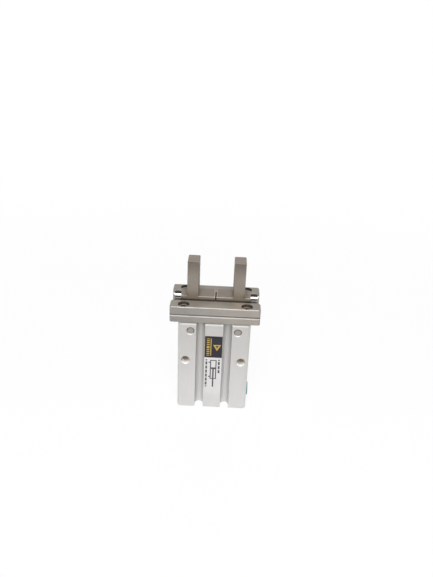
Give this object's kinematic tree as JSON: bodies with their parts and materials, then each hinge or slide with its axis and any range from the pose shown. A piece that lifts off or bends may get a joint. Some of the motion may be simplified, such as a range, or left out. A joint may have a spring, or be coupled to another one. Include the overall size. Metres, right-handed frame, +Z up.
{
  "type": "pneumatic parallel gripper",
  "caption": "Small double-acting pneumatic gripper: slotted aluminium cylinder body, steel guide rail on top, and parallel fingers that slide apart on crossed rollers when the piston lifts.",
  "frame": {"origin": "middle of the flat bottom face of the body", "axes": "+X along the right finger's opening travel, +Y from the labelled front to the rear, +Z up along the piston towards the fingers"},
  "size_m": [0.038, 0.0237, 0.0673],
  "materials": {
    "anodised_aluminium": "satin, bead-blasted and clear anodised",
    "ground_steel": "fine ground stainless steel",
    "hardened_steel": "hardened and ground",
    "screw_steel": "turned and tumbled",
    "spring_steel": "blackened spring steel",
    "bearing_bronze": "sintered, oiled",
    "nitrile_rubber": "moulded black rubber",
    "bonded_magnet": "plastic-bonded ferrite",
    "bearing_plastic": "filled bearing plastic",
    "plug_plastic": "soft teal plastic",
    "label_film": "printed film, no lettering"
  },
  "bodies": {
    "housing": {"cylinder_body": "anodised_aluminium", "guide_rail": "ground_steel", "guide_screws": "screw_steel", "left_lever_shaft": "hardened_steel", "right_lever_shaft": "hardened_steel", "end_cap": "anodised_aluminium", "end_cap_seal": "nitrile_rubber", "retaining_ring": "spring_steel", "cap_bumper": "nitrile_rubber", "rod_seal_retainer": "spring_steel", "rod_seal": "nitrile_rubber", "rod_bush": "bearing_bronze", "blank_label": "label_film"},
    "piston": {"piston_rod": "hardened_steel", "piston_wear_ring": "bearing_plastic", "piston_magnet": "bonded_magnet", "piston_seal": "nitrile_rubber", "rod_bumper": "nitrile_rubber", "rod_joint": "hardened_steel", "joint_screw": "screw_steel"},
    "left_lever": {"left_lever": "hardened_steel"},
    "right_lever": {"right_lever": "hardened_steel"},
    "left_finger": {"left_finger": "ground_steel", "left_roller_stops": "hardened_steel"},
    "right_finger": {"right_finger": "ground_steel", "right_roller_stops": "hardened_steel"},
    "left_rollers": {"left_front_rollers": "hardened_steel", "left_rear_rollers": "hardened_steel"},
    "right_rollers": {"right_front_rollers": "hardened_steel", "right_rear_rollers": "hardened_steel"},
    "lower_port_plug": {"lower_port_plug": "plug_plastic"},
    "upper_port_plug": {"upper_port_plug": "plug_plastic"}
  },
  "joints": [
    {"name": "piston_slide", "type": "slide", "parent": "housing", "child": "piston", "axis": [0, 0, 1], "range_m": [0, 0.00227]},
    {"name": "left_lever_pivot", "type": "hinge", "parent": "housing", "child": "left_lever", "pos_m": [-0.01, 0, 0.0391], "axis": [0, -1, 0], "range_deg": [0, 23.37]},
    {"name": "left_finger_slide", "type": "slide", "parent": "housing", "child": "left_finger", "axis": [-1, 0, 0], "range_m": [0, 0.0032]},
    {"name": "left_roller_slide", "type": "slide", "parent": "housing", "child": "left_rollers", "axis": [-1, 0, 0], "range_m": [0, 0.0016]},
    {"name": "right_lever_pivot", "type": "hinge", "parent": "housing", "child": "right_lever", "pos_m": [0.01, 0, 0.0391], "axis": [0, 1, 0], "range_deg": [0, 23.37]},
    {"name": "right_finger_slide", "type": "slide", "parent": "housing", "child": "right_finger", "axis": [1, 0, 0], "range_m": [0, 0.0032]},
    {"name": "right_roller_slide", "type": "slide", "parent": "housing", "child": "right_rollers", "axis": [1, 0, 0], "range_m": [0, 0.0016]},
    {"name": "lower_plug_pull", "type": "slide", "parent": "housing", "child": "lower_port_plug", "axis": [1, 0, 0], "range_m": [0, 0.025]},
    {"name": "upper_plug_pull", "type": "slide", "parent": "housing", "child": "upper_port_plug", "axis": [1, 0, 0], "range_m": [0, 0.025]}
  ],
  "couplings": [
    {"joint": "left_lever_pivot", "follows": "piston_slide", "rad_per_m": 179.81},
    {"joint": "left_finger_slide", "follows": "piston_slide", "ratio": 1.4107},
    {"joint": "left_roller_slide", "follows": "piston_slide", "ratio": 0.70536},
    {"joint": "right_lever_pivot", "follows": "piston_slide", "rad_per_m": 179.81},
    {"joint": "right_finger_slide", "follows": "piston_slide", "ratio": 1.4107},
    {"joint": "right_roller_slide", "follows": "piston_slide", "ratio": 0.70536}
  ]
}
